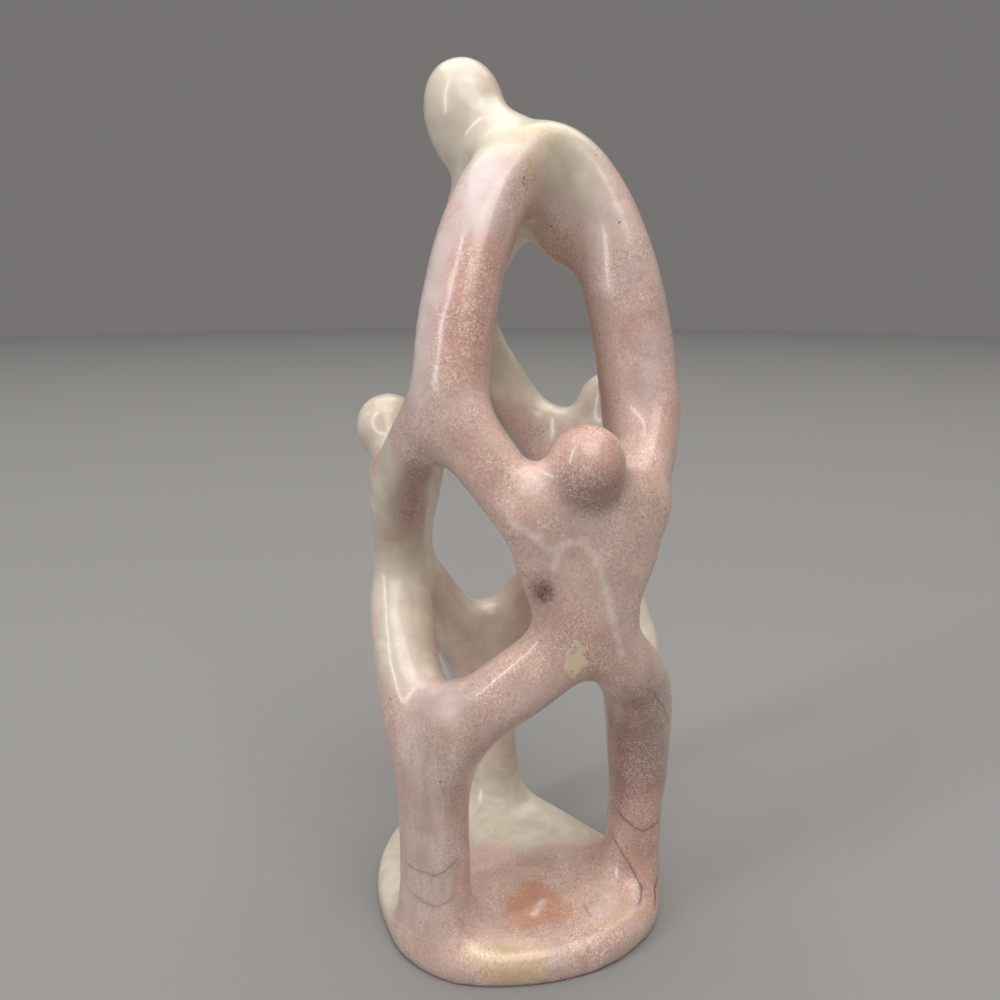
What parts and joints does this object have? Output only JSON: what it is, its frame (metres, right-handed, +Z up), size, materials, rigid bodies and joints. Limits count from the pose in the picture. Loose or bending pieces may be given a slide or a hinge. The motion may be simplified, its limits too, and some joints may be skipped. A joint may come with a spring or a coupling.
{
  "type": "family group sculpture",
  "caption": "Abstract family group carved in one block of polished pink and cream soapstone, featureless figures joined at hands and feet in an open ring on a low round base",
  "frame": {"origin": "on the flat underside, on the axis of the ring of figures", "axes": "+Z up along the height, -Y towards the front child's face, +X to the right as that child is faced"},
  "size_m": [0.1084, 0.1199, 0.2993],
  "materials": {
    "soapstone": "hand-polished mottled pink, mauve and cream soapstone with pale veins, hairlines and small pits"
  },
  "bodies": {
    "root": {"family_group": "soapstone"}
  },
  "joints": []
}
